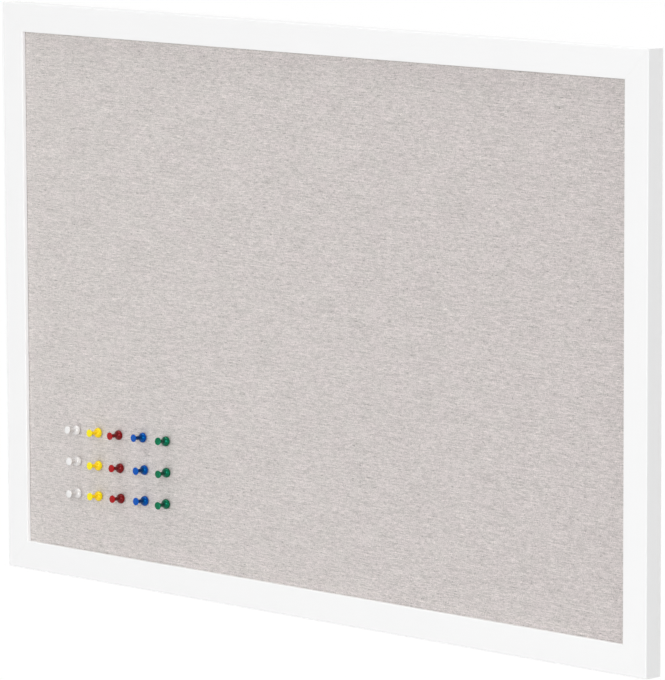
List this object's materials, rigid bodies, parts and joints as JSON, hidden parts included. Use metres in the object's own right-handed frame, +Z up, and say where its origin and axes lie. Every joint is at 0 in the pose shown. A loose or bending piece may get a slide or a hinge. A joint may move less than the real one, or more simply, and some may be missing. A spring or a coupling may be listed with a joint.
{
  "type": "cork board",
  "caption": "Framed cork board covered in linen, in a mitred white frame, with coloured push pins in rows at its lower left and ring hangers behind.",
  "frame": {"origin": "on the back face of the top rail, half way along the rail and half way across its flat back strip, where the board meets the wall", "axes": "+X to the right as seen from the front, +Y back towards the wall, +Z up; the front of the frame faces -Y"},
  "size_m": [0.9, 0.0364, 0.6],
  "materials": {
    "white_paint": "satin white paint on machined wood",
    "linen": "plain woven natural linen with slubs",
    "cork": "pressed cork granules",
    "hardboard": "brown hardboard, smooth side out",
    "zinc": "zinc plated steel",
    "needle_steel": "bright steel wire",
    "rubber": "soft matte rubber",
    "white_plastic": "glossy moulded plastic",
    "yellow_plastic": "glossy moulded plastic",
    "red_plastic": "glossy moulded plastic",
    "blue_plastic": "glossy moulded plastic",
    "green_plastic": "glossy moulded plastic"
  },
  "bodies": {
    "board": {"backing_board": "hardboard", "bottom_left_corner_nail": "zinc", "bottom_rail": "white_paint", "bottom_right_corner_nail": "zinc", "bottom_tab_1": "zinc", "bottom_tab_2": "zinc", "bottom_tab_3": "zinc", "cork_core": "cork", "left_hanger_screw_1": "zinc", "left_hanger_screw_2": "zinc", "left_hanger_strap": "zinc", "left_rail": "white_paint", "left_tab_1": "zinc", "left_wall_bumper": "rubber", "linen_cover": "linen", "right_hanger_screw_1": "zinc", "right_hanger_screw_2": "zinc", "right_hanger_strap": "zinc", "right_rail": "white_paint", "right_tab_1": "zinc", "right_wall_bumper": "rubber", "top_left_corner_nail": "zinc", "top_rail": "white_paint", "top_right_corner_nail": "zinc", "top_tab_1": "zinc", "top_tab_2": "zinc", "top_tab_3": "zinc"},
    "upper_white_pin": {"upper_white_pin_head": "white_plastic", "upper_white_pin_needle": "needle_steel"},
    "upper_yellow_pin": {"upper_yellow_pin_head": "yellow_plastic", "upper_yellow_pin_needle": "needle_steel"},
    "upper_red_pin": {"upper_red_pin_head": "red_plastic", "upper_red_pin_needle": "needle_steel"},
    "upper_blue_pin": {"upper_blue_pin_head": "blue_plastic", "upper_blue_pin_needle": "needle_steel"},
    "upper_green_pin": {"upper_green_pin_head": "green_plastic", "upper_green_pin_needle": "needle_steel"},
    "middle_white_pin": {"middle_white_pin_head": "white_plastic", "middle_white_pin_needle": "needle_steel"},
    "middle_yellow_pin": {"middle_yellow_pin_head": "yellow_plastic", "middle_yellow_pin_needle": "needle_steel"},
    "middle_red_pin": {"middle_red_pin_head": "red_plastic", "middle_red_pin_needle": "needle_steel"},
    "middle_blue_pin": {"middle_blue_pin_head": "blue_plastic", "middle_blue_pin_needle": "needle_steel"},
    "middle_green_pin": {"middle_green_pin_head": "green_plastic", "middle_green_pin_needle": "needle_steel"},
    "lower_white_pin": {"lower_white_pin_head": "white_plastic", "lower_white_pin_needle": "needle_steel"},
    "lower_yellow_pin": {"lower_yellow_pin_head": "yellow_plastic", "lower_yellow_pin_needle": "needle_steel"},
    "lower_red_pin": {"lower_red_pin_head": "red_plastic", "lower_red_pin_needle": "needle_steel"},
    "lower_blue_pin": {"lower_blue_pin_head": "blue_plastic", "lower_blue_pin_needle": "needle_steel"},
    "lower_green_pin": {"lower_green_pin_head": "green_plastic", "lower_green_pin_needle": "needle_steel"},
    "left_ring": {"left_hanger_ring": "zinc"},
    "right_ring": {"right_hanger_ring": "zinc"}
  },
  "joints": [
    {"name": "upper_white_pin_pull", "type": "slide", "parent": "board", "child": "upper_white_pin", "axis": [-0.0519, -0.9912, 0.1217], "range_m": [0, 0.013]},
    {"name": "upper_yellow_pin_pull", "type": "slide", "parent": "board", "child": "upper_yellow_pin", "axis": [0, -0.9976, 0.0698], "range_m": [0, 0.013]},
    {"name": "upper_red_pin_pull", "type": "slide", "parent": "board", "child": "upper_red_pin", "axis": [-0.0175, -0.9997, 0.0175], "range_m": [0, 0.013]},
    {"name": "upper_blue_pin_pull", "type": "slide", "parent": "board", "child": "upper_blue_pin", "axis": [-0.0697, -0.9962, 0.0522], "range_m": [0, 0.013]},
    {"name": "upper_green_pin_pull", "type": "slide", "parent": "board", "child": "upper_green_pin", "axis": [0.1038, -0.9872, 0.1212], "range_m": [0, 0.013]},
    {"name": "middle_white_pin_pull", "type": "slide", "parent": "board", "child": "middle_white_pin", "axis": [0.052, -0.9932, 0.1044], "range_m": [0, 0.013]},
    {"name": "middle_yellow_pin_pull", "type": "slide", "parent": "board", "child": "middle_yellow_pin", "axis": [-0.0174, -0.996, 0.0871], "range_m": [0, 0.013]},
    {"name": "middle_red_pin_pull", "type": "slide", "parent": "board", "child": "middle_red_pin", "axis": [0.0174, -0.996, 0.0871], "range_m": [0, 0.013]},
    {"name": "middle_blue_pin_pull", "type": "slide", "parent": "board", "child": "middle_blue_pin", "axis": [0, -0.9998, 0.0175], "range_m": [0, 0.013]},
    {"name": "middle_green_pin_pull", "type": "slide", "parent": "board", "child": "middle_green_pin", "axis": [0.0523, -0.9985, -0.0174], "range_m": [0, 0.013]},
    {"name": "lower_white_pin_pull", "type": "slide", "parent": "board", "child": "lower_white_pin", "axis": [-0.0349, -0.998, 0.0523], "range_m": [0, 0.013]},
    {"name": "lower_yellow_pin_pull", "type": "slide", "parent": "board", "child": "lower_yellow_pin", "axis": [-0.0174, -0.9974, 0.0697], "range_m": [0, 0.013]},
    {"name": "lower_red_pin_pull", "type": "slide", "parent": "board", "child": "lower_red_pin", "axis": [0.0174, -0.9974, 0.0697], "range_m": [0, 0.013]},
    {"name": "lower_blue_pin_pull", "type": "slide", "parent": "board", "child": "lower_blue_pin", "axis": [-0.0174, -0.9974, 0.0697], "range_m": [0, 0.013]},
    {"name": "lower_green_pin_pull", "type": "slide", "parent": "board", "child": "lower_green_pin", "axis": [0.0697, -0.9974, -0.0174], "range_m": [0, 0.013]},
    {"name": "left_ring_swing", "type": "hinge", "parent": "board", "child": "left_ring", "pos_m": [-0.438, 0.0025, -0.088], "axis": [-1, 0, 0], "range_deg": [-4, 175]},
    {"name": "right_ring_swing", "type": "hinge", "parent": "board", "child": "right_ring", "pos_m": [0.438, 0.0025, -0.088], "axis": [-1, 0, 0], "range_deg": [-4, 175]}
  ]
}
